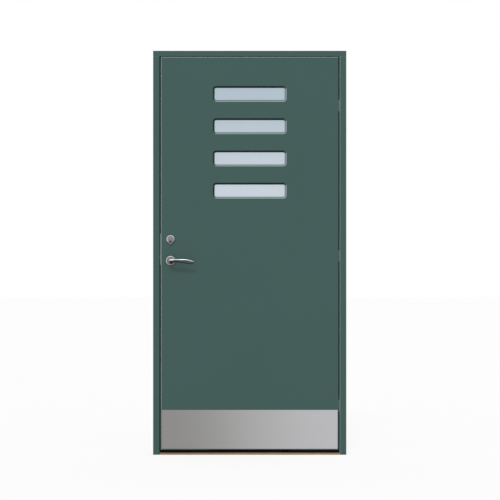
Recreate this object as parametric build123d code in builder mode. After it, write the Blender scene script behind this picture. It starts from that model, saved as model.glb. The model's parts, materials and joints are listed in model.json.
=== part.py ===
from build123d import *
import os
from math import sqrt

# A front door in its frame, hung on the right and seen closed from outside.
# X runs to the right, Y into the building and Z up, in millimetres.
# The origin is the middle of the frame's base, at floor level.

# Frame
frame_width = 995.0
frame_height = 2080.0
frame_depth = 105.0
jamb_width = 34.0
head_height = 28.0
stop_projection = 12.0
frame_inner_arris = 3.0
frame_outer_arris = 1.5
butt_chamfer = 0.6

# Gaps round the leaf
side_gap = 6.0
top_gap = 3.0
leaf_base = 24.0
seal_gap = 4.0

# Rubber seals in the frame
groove_width = 3.0
groove_depth = 6.0
seal_width = 7.0
seal_clearance = 0.3
seal_rounding = 1.5

# Threshold
tread_front = 13.0
tread_back = 15.0
threshold_stop_height = 34.0
threshold_rounding = 3.0

# Leaf
outer_skin_thickness = 8.0
core_thickness = 48.0
inner_skin_thickness = 6.0
leaf_arris = 4.0
inner_leaf_arris = 1.5
lock_stile_width = 110.0
hinge_stile_width = 70.0
top_rail_height = 80.0
bottom_rail_height = 100.0

# Windows
window_count = 4
window_width = 365.0
window_height = 66.0
window_corner = 10.0
window_pitch = 166.0
top_window_drop = 191.0
glass_overlap = 12.0
pane_thickness = 4.0
pane_space = 16.0
spacer_width = 9.0
glazing_clearance = 2.0
bead_clearance = 0.5
bead_lip = 6.0
bead_lip_thickness = 3.0
bead_chamfer = 1.5

# Kick plate
kick_plate_height = 200.0
kick_plate_inset = 5.0
kick_plate_rise = 7.0
kick_plate_thickness = 1.0
kick_plate_corner = 1.0

# Lock
backset = 50.0
handle_height = 1000.0
cylinder_rise = 97.0
lock_line_depth = 20.0
case_reach = 24.0
case_thickness = 18.0
case_wall = 1.5
case_below = 16.0
case_above = 22.0
forend_length = 161.0
forend_width = 36.0
forend_thickness = 3.5
forend_corner = 3.0
forend_below = 23.0
running_clearance = 0.05
loose_clearance = 0.5

# Latch and its spring
latch_rise = 20.0
latch_height = 18.0
latch_thickness = 12.0
latch_projection = 11.0
latch_root = 14.0
tail_height = 5.0
tail_thickness = 4.0
spring_length = 22.0
spring_radius = 4.6
spring_wire = 0.5
spring_turns = 6
spring_post = 2.5

# Deadbolt
deadbolt_drop = 32.0
deadbolt_height = 28.0
deadbolt_root = 30.0
deadbolt_recess = 0.5
fork_height = 16.0
fork_prong = 6.0
fork_left = 6.0
fork_right = 8.0
fork_clearance = 1.0

# Follower, cam and spindle
spindle_size = 8.0
follower_radius = 11.0
follower_bearing = 9.0
finger_reach = 16.0
finger_width = 6.0
hook_gap = 1.0
hook_width = 5.0
cam_radius = 7.5
cam_bearing = 6.0
cam_reach = 15.0
cam_finger_width = 5.0
tail_bar_width = 6.0
tail_bar_thickness = 3.0

# Lever handles and roses
rose_diameter = 48.0
rose_thickness = 9.0
rose_edge = 2.5
rose_rim = 3.0
rose_dish = 2.5
neck_diameter = 19.0
neck_gap = 1.0
lever_length = 122.5
lever_height = 23.0
lever_depth = 10.0
lever_stand_off = 50.0
elbow_radius = 14.0
spindle_grip = 28.0

# Outside cylinder and its guard ring
ring_diameter = 44.0
ring_thickness = 10.0
ring_rise = 13.0
ring_rim = 5.0
ring_dish = 2.5
lobe_radius = 12.0
lobe_stand_out = 1.5
plug_diameter = 13.0
keyhole_width = 1.8
keyhole_height = 8.0
keyhole_depth = 20.0

# Inside thumbturn
thumbturn_rose_thickness = 8.0
thumbturn_hub = 18.0
thumbturn_length = 36.0
thumbturn_width = 9.0
thumbturn_height = 17.0

# Strike plate in the lock jamb
strike_length = 150.0
strike_width = 32.0
strike_thickness = 2.5
strike_corner = 3.0
strike_rise = 55.0
strike_clearance = 2.0
strike_pocket = 24.0

# Hidden hinges
hinge_rise = 226.0
hinge_drop = 249.0
pin_depth = 14.0
pin_inset = 16.0
pin_diameter = 8.0
arm_height = 60.0
knuckle_radius = 7.0
arm_leg_inner = 4.0
arm_leg_outer = 5.0
arm_cross_front = 22.0
arm_cross_back = 30.0
arm_plate_length = 104.0
arm_plate_width = 30.0
arm_plate_thickness = 4.0
ear_thickness = 8.0
ear_clearance = 0.5
bracket_depth = 26.5
bracket_back = 2.0
bracket_front = 4.5
bracket_width = 42.0
bracket_tab_length = 23.0
bracket_tab_thickness = 3.0
plate_corner = 6.0

# Screws and jamb fixings
screw_head_radius = 4.2
screw_head_height = 2.4
screw_shank_radius = 2.0
hinge_screw_length = 22.0
lock_screw_length = 20.0
screw_inset = 11.0
fixing_inset = 130.0
fixing_pitch = 800.0
fixing_depth = 32.0
sleeve_diameter = 14.0
sleeve_bore = 8.5
cap_diameter = 18.0
cap_thickness = 1.0
cap_plug = 3.0

# Places worked out from the sizes above
outer_x = frame_width / 2
rebate_x = outer_x - jamb_width
stop_x = rebate_x - stop_projection
leaf_x = rebate_x - side_gap
front_y = -frame_depth / 2
back_y = frame_depth / 2
skin_y = front_y + outer_skin_thickness
core_y = skin_y + core_thickness
leaf_back_y = core_y + inner_skin_thickness
stop_y = leaf_back_y + seal_gap
head_z = frame_height - head_height
head_stop_z = head_z - stop_projection
leaf_top = head_z - top_gap
leaf_middle = (leaf_base + leaf_top) / 2
leaf_height = leaf_top - leaf_base
seal_x = (rebate_x + stop_x) / 2
seal_z = (head_z + head_stop_z) / 2
threshold_seal_z = (leaf_base + threshold_stop_height) / 2

window_zs = [leaf_top - top_window_drop - number * window_pitch for number in range(window_count)]
glass_width = window_width + 2 * glass_overlap
glass_height = window_height + 2 * glass_overlap
glazing_width = glass_width + 2 * glazing_clearance
glazing_height = glass_height + 2 * glazing_clearance
inner_pane_y = skin_y + pane_thickness + pane_space
glass_back_y = inner_pane_y + pane_thickness

spindle_x = -leaf_x + backset
cylinder_height = handle_height + cylinder_rise
lock_y = front_y + lock_line_depth
case_front = lock_y - case_thickness / 2
case_back = lock_y + case_thickness / 2
case_end_x = spindle_x + case_reach
case_bottom = handle_height - case_below
case_top = cylinder_height + case_above
forend_x = -leaf_x - forend_thickness
forend_bottom = handle_height - forend_below
forend_z = forend_bottom + forend_length / 2
latch_z = handle_height + latch_rise
deadbolt_z = cylinder_height - deadbolt_drop
latch_back_x = -leaf_x + latch_root - forend_thickness
deadbolt_face_x = forend_x + deadbolt_recess
deadbolt_back_x = deadbolt_face_x + deadbolt_root
strike_z = handle_height + strike_rise

hinge_zs = {
    "top": leaf_top - hinge_drop,
    "middle": (leaf_top - hinge_drop + leaf_base + hinge_rise) / 2,
    "bottom": leaf_base + hinge_rise,
}
pin_x = rebate_x + pin_inset
pin_y = front_y + pin_depth
ear_z = arm_height / 2 + ear_clearance
bracket_z = ear_z + ear_thickness
bracket_y = front_y + bracket_front + bracket_width / 2
arm_plate_y = pin_y + (arm_cross_front + arm_cross_back) / 2
arm_screw_z = arm_plate_length / 2 - screw_inset
bracket_screw_z = bracket_z + bracket_tab_length - screw_inset
fixing_y = front_y + fixing_depth
fixing_zs = (
    fixing_inset,
    (frame_height - fixing_pitch) / 2,
    (frame_height + fixing_pitch) / 2,
    frame_height - fixing_inset,
)

os.makedirs("parts", exist_ok=True)


def save(piece, name):
    """Label a finished piece and write it out."""
    piece.part.label = name
    export_step(piece.part, f"parts/{name}.step")


def face_plane(y):
    """Drawing plane at depth y, seen from outside: X right, Z up, facing out."""
    return Plane.XZ.offset(-y)


def edge_plane(x):
    """Drawing plane across the door at x: Y right, Z up, facing +X."""
    return Plane.YZ.offset(x)


def block(x_range, y_range, z_range, mode=Mode.ADD):
    """A block between two opposite corners."""
    sizes = [max(span) - min(span) for span in (x_range, y_range, z_range)]
    centre = tuple(sum(span) / 2 for span in (x_range, y_range, z_range))
    with Locations(centre):
        Box(*sizes, mode=mode)


def screw(length):
    """A countersunk screw, its head's face at the origin and its shank down."""
    with BuildPart() as body:
        with Locations((0, 0, -screw_head_height / 2)):
            Cone(screw_shank_radius, screw_head_radius, screw_head_height)
        with Locations((0, 0, -(screw_head_height + length) / 2)):
            Cylinder(screw_shank_radius, length - screw_head_height)
    return body.part


def facing_left(x, y, z):
    """A place where a screw's head faces -X."""
    return Location((x, y, z), (0, -90, 0))


def facing_right(x, y, z):
    """A place where a screw's head faces +X."""
    return Location((x, y, z), (0, 90, 0))


# Screws and fixings, made first because the pieces they hold are cut to them
with BuildPart() as hinge_bracket_screws:
    with Locations(
        *[
            facing_left(rebate_x, bracket_y, hinge_z + side * bracket_screw_z)
            for hinge_z in hinge_zs.values()
            for side in (1, -1)
        ]
    ):
        add(screw(hinge_screw_length))
save(hinge_bracket_screws, "hinge_bracket_screws")

with BuildPart() as hinge_arm_screws:
    with Locations(
        *[
            facing_right(leaf_x, arm_plate_y, hinge_z + side * arm_screw_z)
            for hinge_z in hinge_zs.values()
            for side in (1, -1)
        ]
    ):
        add(screw(hinge_screw_length))
save(hinge_arm_screws, "hinge_arm_screws")

with BuildPart() as forend_screws:
    with Locations(
        *[
            facing_left(forend_x, lock_y, forend_z + side * (forend_length / 2 - screw_inset))
            for side in (1, -1)
        ]
    ):
        add(screw(lock_screw_length))
save(forend_screws, "forend_screws")

with BuildPart() as strike_plate_screws:
    with Locations(
        *[
            facing_right(-rebate_x, lock_y, strike_z + side * (strike_length / 2 - screw_inset))
            for side in (1, -1)
        ]
    ):
        add(screw(lock_screw_length))
save(strike_plate_screws, "strike_plate_screws")

with BuildPart() as fixing_bores:
    for side in (-1, 1):
        with BuildSketch(edge_plane(side * rebate_x)):
            with Locations(*[(fixing_y, fixing_z) for fixing_z in fixing_zs]):
                Circle(sleeve_diameter / 2)
        extrude(amount=side * jamb_width)

with BuildPart() as frame_fixing_sleeves:
    for side in (-1, 1):
        with BuildSketch(edge_plane(side * (rebate_x + cap_plug))):
            with Locations(*[(fixing_y, fixing_z) for fixing_z in fixing_zs]):
                Circle(sleeve_diameter / 2)
                Circle(sleeve_bore / 2, mode=Mode.SUBTRACT)
        extrude(amount=side * (jamb_width - cap_plug))
save(frame_fixing_sleeves, "frame_fixing_sleeves")

with BuildPart() as fixing_cover_caps:
    for side in (-1, 1):
        with BuildSketch(edge_plane(side * rebate_x)):
            with Locations(*[(fixing_y, fixing_z) for fixing_z in fixing_zs]):
                Circle(cap_diameter / 2)
        extrude(amount=-side * cap_thickness)
        with BuildSketch(edge_plane(side * rebate_x)):
            with Locations(*[(fixing_y, fixing_z) for fixing_z in fixing_zs]):
                Circle(sleeve_diameter / 2)
        extrude(amount=side * cap_plug)
save(fixing_cover_caps, "fixing_cover_caps")


# Frame
def jamb_blank(side):
    """A plain jamb: rebate in front, stop behind it, and the seal's groove."""
    groove_inner = seal_x - groove_width / 2
    groove_outer = seal_x + groove_width / 2
    corners = (
        (outer_x, front_y),
        (rebate_x, front_y),
        (rebate_x, stop_y),
        (groove_outer, stop_y),
        (groove_outer, stop_y + groove_depth),
        (groove_inner, stop_y + groove_depth),
        (groove_inner, stop_y),
        (stop_x, stop_y),
        (stop_x, back_y),
        (outer_x, back_y),
    )
    with BuildPart() as blank:
        with BuildSketch() as plan:
            Polygon(*[(side * x, y) for x, y in corners], align=None)
            lit_arris = plan.vertices().sort_by_distance((side * rebate_x, front_y))[:1]
            fillet(lit_arris, frame_inner_arris)
            plain_arrises = plan.vertices().sort_by_distance((side * outer_x, front_y))[:1]
            plain_arrises += plan.vertices().sort_by_distance((side * stop_x, back_y))[:1]
            fillet(plain_arrises, frame_outer_arris)
        extrude(amount=head_z)
        block(
            (side * (stop_x - 1), side * seal_x),
            (stop_y, stop_y + groove_depth),
            (seal_z - groove_width / 2, seal_z + groove_width / 2),
            mode=Mode.SUBTRACT,
        )
        top_front = blank.edges().filter_by(Axis.X).group_by(Axis.Z)[-1].sort_by(Axis.Y)[:1]
        chamfer(top_front, butt_chamfer)
    return blank.part


with BuildPart() as hinge_bracket_blank:
    block(
        (rebate_x, rebate_x + bracket_depth),
        (bracket_y - bracket_width / 2, bracket_y + bracket_width / 2),
        (-bracket_z, bracket_z),
    )
    with BuildSketch(edge_plane(rebate_x)):
        with Locations((bracket_y, 0)):
            RectangleRounded(bracket_width, 2 * (bracket_z + bracket_tab_length), plate_corner)
    extrude(amount=bracket_tab_thickness)

with BuildPart() as hinge_jamb:
    add(jamb_blank(1))
    with Locations(*[(0, 0, hinge_z) for hinge_z in hinge_zs.values()]):
        add(hinge_bracket_blank.part, mode=Mode.SUBTRACT)
    add(hinge_bracket_screws.part, mode=Mode.SUBTRACT)
    add(fixing_bores.part, mode=Mode.SUBTRACT)
save(hinge_jamb, "hinge_jamb")

with BuildPart() as strike_plate_blank:
    with BuildSketch(edge_plane(-rebate_x)):
        with Locations((lock_y, strike_z)):
            RectangleRounded(strike_width, strike_length, strike_corner)
    extrude(amount=-strike_thickness)

latch_hole = (latch_z - latch_height / 2 - strike_clearance, latch_z + latch_height / 2 + strike_clearance)
deadbolt_hole = (
    deadbolt_z - deadbolt_height / 2 - strike_clearance,
    deadbolt_z + deadbolt_height / 2 + strike_clearance,
)
bolt_hole_y = (
    lock_y - latch_thickness / 2 - strike_clearance,
    lock_y + latch_thickness / 2 + strike_clearance,
)
strike_pocket_x = (-rebate_x - strike_pocket, -rebate_x)

with BuildPart() as lock_jamb:
    add(jamb_blank(-1))
    add(strike_plate_blank.part, mode=Mode.SUBTRACT)
    block(strike_pocket_x, bolt_hole_y, latch_hole, mode=Mode.SUBTRACT)
    block(strike_pocket_x, bolt_hole_y, deadbolt_hole, mode=Mode.SUBTRACT)
    add(strike_plate_screws.part, mode=Mode.SUBTRACT)
    add(fixing_bores.part, mode=Mode.SUBTRACT)
save(lock_jamb, "lock_jamb")

with BuildPart() as strike_plate:
    add(strike_plate_blank.part)
    block(strike_pocket_x, bolt_hole_y, latch_hole, mode=Mode.SUBTRACT)
    block(strike_pocket_x, bolt_hole_y, deadbolt_hole, mode=Mode.SUBTRACT)
    add(strike_plate_screws.part, mode=Mode.SUBTRACT)
save(strike_plate, "strike_plate")

with BuildPart() as frame_head:
    with BuildSketch(edge_plane(-outer_x)) as head_profile:
        with Locations(((front_y + back_y) / 2, (head_z + frame_height) / 2)):
            Rectangle(frame_depth, head_height)
        fillet(head_profile.vertices().sort_by(Axis.Y)[:2], frame_outer_arris)
    extrude(amount=frame_width)
    with BuildSketch(edge_plane(-stop_x)):
        Polygon(
            (stop_y, head_stop_z),
            (back_y, head_stop_z),
            (back_y, head_z),
            (stop_y, head_z),
            (stop_y, seal_z + groove_width / 2),
            (stop_y + groove_depth, seal_z + groove_width / 2),
            (stop_y + groove_depth, seal_z - groove_width / 2),
            (stop_y, seal_z - groove_width / 2),
            align=None,
        )
    extrude(amount=2 * stop_x)
save(frame_head, "frame_head")

with BuildPart() as threshold:
    with BuildSketch(edge_plane(-rebate_x)) as tread:
        Polygon((front_y, 0), (stop_y, 0), (stop_y, tread_back), (front_y, tread_front), align=None)
        nose = tread.vertices().sort_by_distance((front_y, tread_front))[:1]
        fillet(nose, threshold_rounding)
    extrude(amount=2 * rebate_x)
    with BuildSketch(edge_plane(-stop_x)) as rear_stop:
        Polygon(
            (stop_y, 0),
            (back_y, 0),
            (back_y, threshold_stop_height),
            (stop_y, threshold_stop_height),
            (stop_y, threshold_seal_z + groove_width / 2),
            (stop_y + groove_depth, threshold_seal_z + groove_width / 2),
            (stop_y + groove_depth, threshold_seal_z - groove_width / 2),
            (stop_y, threshold_seal_z - groove_width / 2),
            align=None,
        )
        back_edge = rear_stop.vertices().sort_by_distance((back_y, threshold_stop_height))[:1]
        fillet(back_edge, threshold_rounding)
    extrude(amount=2 * stop_x)
save(threshold, "threshold")

# Rubber seals: a stem in the groove and a squeezed bulb behind the leaf
seal_front_y = leaf_back_y + seal_clearance


def seal_arch(width):
    """Up one jamb, across the head and down the other, along the seal's line."""
    half_span = seal_x + width / 2
    rise = seal_z + width / 2 - leaf_base
    with Locations((0, leaf_base + rise / 2)):
        Rectangle(2 * half_span, rise)
    with Locations((0, leaf_base + rise / 2 - width)):
        Rectangle(2 * (half_span - width), rise, mode=Mode.SUBTRACT)


with BuildPart() as frame_seal:
    with BuildSketch(face_plane(stop_y)):
        seal_arch(seal_width)
    extrude(amount=stop_y - seal_front_y)
    fillet(frame_seal.faces().sort_by(Axis.Y)[0].edges(), seal_rounding)
    with BuildSketch(face_plane(stop_y)):
        seal_arch(groove_width)
    extrude(amount=-groove_depth)
save(frame_seal, "frame_seal")

with BuildPart() as threshold_seal:
    with BuildSketch(face_plane(stop_y)):
        with Locations((0, threshold_seal_z)):
            Rectangle(2 * (seal_x - seal_width / 2), seal_width)
    extrude(amount=stop_y - seal_front_y)
    long_lips = threshold_seal.faces().sort_by(Axis.Y)[0].edges().filter_by(Axis.X)
    fillet(long_lips, seal_rounding)
    with BuildSketch(face_plane(stop_y)):
        with Locations((0, threshold_seal_z)):
            Rectangle(2 * stop_x, groove_width)
    extrude(amount=-groove_depth)
save(threshold_seal, "threshold_seal")

# Hidden hinges: a bracket in the jamb, a fixed pin and a gooseneck arm on the leaf
with BuildPart() as hinge_pins:
    with Locations(*[(pin_x, pin_y, hinge_z) for hinge_z in hinge_zs.values()]):
        Cylinder(pin_diameter / 2, 2 * bracket_z)
save(hinge_pins, "hinge_pins")


def hinge_bracket(hinge_z):
    """Two ears on a back plate, with a screwed tab above and below the mouth."""
    with BuildPart() as bracket:
        with Locations((0, 0, hinge_z)):
            add(hinge_bracket_blank.part)
        block(
            (rebate_x, rebate_x + bracket_depth - bracket_back),
            (bracket_y - bracket_width / 2, bracket_y + bracket_width / 2),
            (hinge_z - ear_z, hinge_z + ear_z),
            mode=Mode.SUBTRACT,
        )
        add(hinge_pins.part, mode=Mode.SUBTRACT)
        add(hinge_bracket_screws.part, mode=Mode.SUBTRACT)
    return bracket


def arm_plate(hinge_z):
    """The arm's plate, let in flush with the leaf's edge."""
    with BuildPart() as plate:
        with BuildSketch(edge_plane(leaf_x)):
            with Locations((arm_plate_y, hinge_z)):
                RectangleRounded(arm_plate_width, arm_plate_length, plate_corner)
        extrude(amount=-arm_plate_thickness)
    return plate.part


def hinge_arm(hinge_z):
    """The arm goes back from its knuckle, then across the gap to the leaf's edge."""
    with BuildPart() as arm:
        with BuildSketch(Plane.XY.offset(hinge_z - arm_height / 2)) as plan:
            with BuildLine():
                Polyline(
                    (pin_x - arm_leg_inner, pin_y),
                    (pin_x - arm_leg_inner, pin_y + arm_cross_front),
                    (leaf_x, pin_y + arm_cross_front),
                    (leaf_x, pin_y + arm_cross_back),
                    (pin_x + arm_leg_outer, pin_y + arm_cross_back),
                    (pin_x + arm_leg_outer, pin_y),
                    close=True,
                )
            make_face()
            outer_bend = plan.vertices().sort_by_distance(
                (pin_x + arm_leg_outer, pin_y + arm_cross_back)
            )[:1]
            fillet(outer_bend, arm_leg_inner + arm_leg_outer)
            with Locations((pin_x, pin_y)):
                Circle(knuckle_radius)
        extrude(amount=arm_height)
        add(arm_plate(hinge_z))
        with Locations((pin_x, pin_y, hinge_z)):
            Cylinder(pin_diameter / 2 + running_clearance, arm_height, mode=Mode.SUBTRACT)
        add(hinge_arm_screws.part, mode=Mode.SUBTRACT)
    return arm


for place, hinge_z in hinge_zs.items():
    save(hinge_bracket(hinge_z), f"hinge_bracket_{place}")
    save(hinge_arm(hinge_z), f"hinge_arm_{place}")

# Leaf: two skins on stiles, rails and an insulating core
with BuildPart() as window_opening:
    with BuildSketch(face_plane(skin_y)):
        RectangleRounded(window_width, window_height, window_corner)
    with BuildSketch(face_plane(front_y)):
        RectangleRounded(
            window_width + 2 * outer_skin_thickness,
            window_height + 2 * outer_skin_thickness,
            window_corner + outer_skin_thickness,
        )
    loft(ruled=True)

with BuildPart() as glazing_pocket:
    with BuildSketch(face_plane(skin_y)):
        with Locations(*[(0, window_z) for window_z in window_zs]):
            Rectangle(glazing_width, glazing_height)
    extrude(amount=skin_y - leaf_back_y)

with BuildPart() as lock_bores:
    with BuildSketch(face_plane(front_y)):
        with Locations((spindle_x, handle_height)):
            Circle(neck_diameter / 2 + loose_clearance)
        with Locations((spindle_x, cylinder_height + ring_rise / 2)):
            SlotCenterToCenter(ring_rise, 2 * (lobe_radius + loose_clearance), rotation=90)
    extrude(amount=front_y - leaf_back_y)

with BuildPart() as outer_skin:
    with BuildSketch(face_plane(skin_y)):
        with Locations((0, leaf_middle)):
            Rectangle(2 * leaf_x, leaf_height)
    extrude(amount=outer_skin_thickness)
    fillet(outer_skin.faces().sort_by(Axis.Y)[0].edges(), leaf_arris)
    with Locations(*[(0, 0, window_z) for window_z in window_zs]):
        add(window_opening.part, mode=Mode.SUBTRACT)
    add(lock_bores.part, mode=Mode.SUBTRACT)
save(outer_skin, "outer_skin")

with BuildPart() as inner_skin:
    with BuildSketch(face_plane(core_y)):
        with Locations((0, leaf_middle)):
            Rectangle(2 * leaf_x, leaf_height)
    extrude(amount=-inner_skin_thickness)
    fillet(inner_skin.faces().sort_by(Axis.Y)[-1].edges(), inner_leaf_arris)
    add(glazing_pocket.part, mode=Mode.SUBTRACT)
    add(lock_bores.part, mode=Mode.SUBTRACT)
save(inner_skin, "inner_skin")

case_y = (case_front, case_back)
case_x = (-leaf_x, case_end_x)
case_z = (case_bottom, case_top)
core_ys = (skin_y, core_y)

with BuildPart() as lock_stile:
    block((-leaf_x, -leaf_x + lock_stile_width), core_ys, (leaf_base, leaf_top))
    block(case_x, case_y, case_z, mode=Mode.SUBTRACT)
    add(lock_bores.part, mode=Mode.SUBTRACT)
    add(forend_screws.part, mode=Mode.SUBTRACT)
save(lock_stile, "lock_stile")

with BuildPart() as hinge_stile:
    block((leaf_x - hinge_stile_width, leaf_x), core_ys, (leaf_base, leaf_top))
    for hinge_z in hinge_zs.values():
        add(arm_plate(hinge_z), mode=Mode.SUBTRACT)
    add(hinge_arm_screws.part, mode=Mode.SUBTRACT)
save(hinge_stile, "hinge_stile")

core_xs = (-leaf_x + lock_stile_width, leaf_x - hinge_stile_width)

with BuildPart() as top_rail:
    block(core_xs, core_ys, (leaf_top - top_rail_height, leaf_top))
save(top_rail, "top_rail")

with BuildPart() as bottom_rail:
    block(core_xs, core_ys, (leaf_base, leaf_base + bottom_rail_height))
save(bottom_rail, "bottom_rail")

with BuildPart() as insulation_core:
    block(core_xs, core_ys, (leaf_base + bottom_rail_height, leaf_top - top_rail_height))
    add(glazing_pocket.part, mode=Mode.SUBTRACT)
save(insulation_core, "insulation_core")


# Windows: sealed double panes bedded on the outer skin, held by beads from inside
def pane(pane_y, window_z):
    """One sheet of glass with its outer face at the given depth."""
    with BuildPart() as sheet:
        with BuildSketch(face_plane(pane_y)):
            with Locations((0, window_z)):
                Rectangle(glass_width, glass_height)
        extrude(amount=-pane_thickness)
    return sheet


def glazing_bead(window_z):
    """A frame that fills the pocket behind the glass, with a lip on the inner skin."""
    with BuildPart() as bead:
        with BuildSketch(face_plane(glass_back_y)):
            with Locations((0, window_z)):
                Rectangle(glazing_width - 2 * bead_clearance, glazing_height - 2 * bead_clearance)
        extrude(amount=glass_back_y - leaf_back_y)
        with BuildSketch(face_plane(leaf_back_y)):
            with Locations((0, window_z)):
                RectangleRounded(glazing_width + 2 * bead_lip, glazing_height + 2 * bead_lip, bead_lip)
        extrude(amount=-bead_lip_thickness)
        chamfer(bead.faces().sort_by(Axis.Y)[-1].edges(), bead_chamfer)
        with BuildSketch(face_plane(glass_back_y)):
            with Locations((0, window_z)):
                RectangleRounded(window_width, window_height, window_corner)
        extrude(amount=glass_back_y - leaf_back_y - bead_lip_thickness, mode=Mode.SUBTRACT)
    return bead


for number, window_z in enumerate(window_zs, start=1):
    save(pane(skin_y, window_z), f"outer_pane_{number}")
    save(pane(inner_pane_y, window_z), f"inner_pane_{number}")
    save(glazing_bead(window_z), f"glazing_bead_{number}")

with BuildPart() as pane_spacers:
    with BuildSketch(face_plane(inner_pane_y)):
        with Locations(*[(0, window_z) for window_z in window_zs]):
            Rectangle(glass_width, glass_height)
            Rectangle(
                glass_width - 2 * spacer_width,
                glass_height - 2 * spacer_width,
                mode=Mode.SUBTRACT,
            )
    extrude(amount=pane_space)
save(pane_spacers, "pane_spacers")

# Steel kick plate on the foot of the leaf
kick_plate_z = leaf_base + kick_plate_rise + kick_plate_height / 2
with BuildPart() as kick_plate:
    with BuildSketch(face_plane(front_y)):
        with Locations((0, kick_plate_z)):
            RectangleRounded(2 * (leaf_x - kick_plate_inset), kick_plate_height, kick_plate_corner)
    extrude(amount=kick_plate_thickness)
save(kick_plate, "kick_plate")

# Lock case, its cover and the forend on the leaf's edge
inside_x = (-leaf_x, case_end_x - case_wall)
inside_z = (case_bottom + case_wall, case_top - case_wall)
latch_window = (latch_z - latch_height / 2 - loose_clearance, latch_z + latch_height / 2 + loose_clearance)
deadbolt_window = (
    deadbolt_z - deadbolt_height / 2 - loose_clearance,
    deadbolt_z + deadbolt_height / 2 + loose_clearance,
)
bolt_window_y = (
    lock_y - latch_thickness / 2 - loose_clearance,
    lock_y + latch_thickness / 2 + loose_clearance,
)
post_x = latch_back_x + spring_length
tail_window_y = (
    lock_y - tail_thickness / 2 - loose_clearance,
    lock_y + tail_thickness / 2 + loose_clearance,
)
tail_window_z = (
    latch_z - tail_height / 2 - loose_clearance,
    latch_z + tail_height / 2 + loose_clearance,
)

with BuildPart() as case_bearings:
    with BuildSketch(face_plane(case_front)):
        with Locations((spindle_x, handle_height)):
            Circle(follower_bearing + running_clearance)
        with Locations((spindle_x, cylinder_height)):
            Circle(cam_bearing + running_clearance)
    extrude(amount=-case_thickness)

with BuildPart() as lock_case:
    block(case_x, (case_front, case_back - case_wall), case_z)
    block(inside_x, (case_front + case_wall, case_back - case_wall), inside_z, mode=Mode.SUBTRACT)
    block((post_x, post_x + spring_post), (case_front, case_back - case_wall), latch_window)
    block((post_x, post_x + spring_post), tail_window_y, tail_window_z, mode=Mode.SUBTRACT)
    add(case_bearings.part, mode=Mode.SUBTRACT)
save(lock_case, "lock_case")

with BuildPart() as lock_case_cover:
    block(case_x, (case_back - case_wall, case_back), case_z)
    add(case_bearings.part, mode=Mode.SUBTRACT)
save(lock_case_cover, "lock_case_cover")

with BuildPart() as forend:
    with BuildSketch(edge_plane(-leaf_x)):
        with Locations((lock_y, forend_z)):
            RectangleRounded(forend_width, forend_length, forend_corner)
    extrude(amount=-forend_thickness)
    block((forend_x, -leaf_x), bolt_window_y, latch_window, mode=Mode.SUBTRACT)
    block((forend_x, -leaf_x), bolt_window_y, deadbolt_window, mode=Mode.SUBTRACT)
    add(forend_screws.part, mode=Mode.SUBTRACT)
save(forend, "forend")

# Latch bolt: a bevelled head, a tail past the spring's post and a hook for the follower
latch_tip_x = forend_x - latch_projection
hook_x = spindle_x + finger_width / 2 + hook_gap
bolt_y = (lock_y - latch_thickness / 2, lock_y + latch_thickness / 2)
latch_zs = (latch_z - latch_height / 2, latch_z + latch_height / 2)

with BuildPart() as latch_bolt:
    with BuildSketch(Plane.XY.offset(latch_zs[0])):
        Polygon(
            (latch_back_x, bolt_y[0]),
            (latch_back_x, bolt_y[1]),
            (forend_x, bolt_y[1]),
            (latch_tip_x, bolt_y[0] + tail_thickness / 2),
            (latch_tip_x, bolt_y[0]),
            align=None,
        )
    extrude(amount=latch_height)
    block(
        (latch_back_x, hook_x + hook_width),
        (lock_y - tail_thickness / 2, lock_y + tail_thickness / 2),
        (latch_z - tail_height / 2, latch_z + tail_height / 2),
    )
    block(
        (hook_x, hook_x + hook_width),
        (lock_y - tail_thickness / 2, lock_y + tail_thickness / 2),
        (handle_height + follower_radius + loose_clearance, latch_z),
    )
save(latch_bolt, "latch_bolt")

with BuildPart() as latch_spring:
    with BuildLine() as coil:
        Helix(
            pitch=(spring_length - 2 * spring_wire) / spring_turns,
            height=spring_length - 2 * spring_wire,
            radius=spring_radius,
            center=(latch_back_x + spring_wire, lock_y, latch_z),
            direction=(1, 0, 0),
        )
    with BuildSketch(Plane(coil.line @ 0, z_dir=coil.line % 0)):
        RegularPolygon(spring_wire, 6)
    sweep(path=coil.line, is_frenet=True)
save(latch_spring, "latch_spring")

# Deadbolt: a square bolt with a fork that the cam's finger drives
fork_top = cylinder_height - cam_radius - fork_clearance
fork_x = (spindle_x - fork_left - fork_prong, spindle_x + fork_right + fork_prong / 2)

with BuildPart() as deadbolt:
    block(
        (deadbolt_face_x, deadbolt_back_x),
        bolt_y,
        (deadbolt_z - deadbolt_height / 2, deadbolt_z + deadbolt_height / 2),
    )
    block((deadbolt_back_x, fork_x[1]), bolt_y, (deadbolt_z - fork_height / 2, deadbolt_z))
    block(fork_x, bolt_y, (deadbolt_z, fork_top))
    block(
        (spindle_x - fork_left, spindle_x + fork_right),
        bolt_y,
        (deadbolt_z, fork_top),
        mode=Mode.SUBTRACT,
    )
save(deadbolt, "deadbolt")

# Follower and cam, each turning on bosses in the walls of the case
inner_thickness = case_thickness - 2 * case_wall - 2 * loose_clearance

with BuildPart() as follower:
    with BuildSketch(face_plane(lock_y + inner_thickness / 2)):
        with Locations((spindle_x, handle_height)):
            Circle(follower_radius)
    extrude(amount=inner_thickness)
    with BuildSketch(face_plane(case_back)):
        with Locations((spindle_x, handle_height)):
            Circle(follower_bearing)
    extrude(amount=case_thickness)
    block(
        (spindle_x - finger_width / 2, spindle_x + finger_width / 2),
        (lock_y - tail_thickness / 2, lock_y + tail_thickness / 2),
        (handle_height, handle_height + finger_reach),
    )
    with BuildSketch(face_plane(case_back)):
        with Locations((spindle_x, handle_height)):
            Rectangle(spindle_size, spindle_size)
    extrude(amount=case_thickness, mode=Mode.SUBTRACT)
save(follower, "follower")

plug_back_y = case_front - loose_clearance
thumbturn_hub_y = leaf_back_y + thumbturn_rose_thickness

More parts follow.
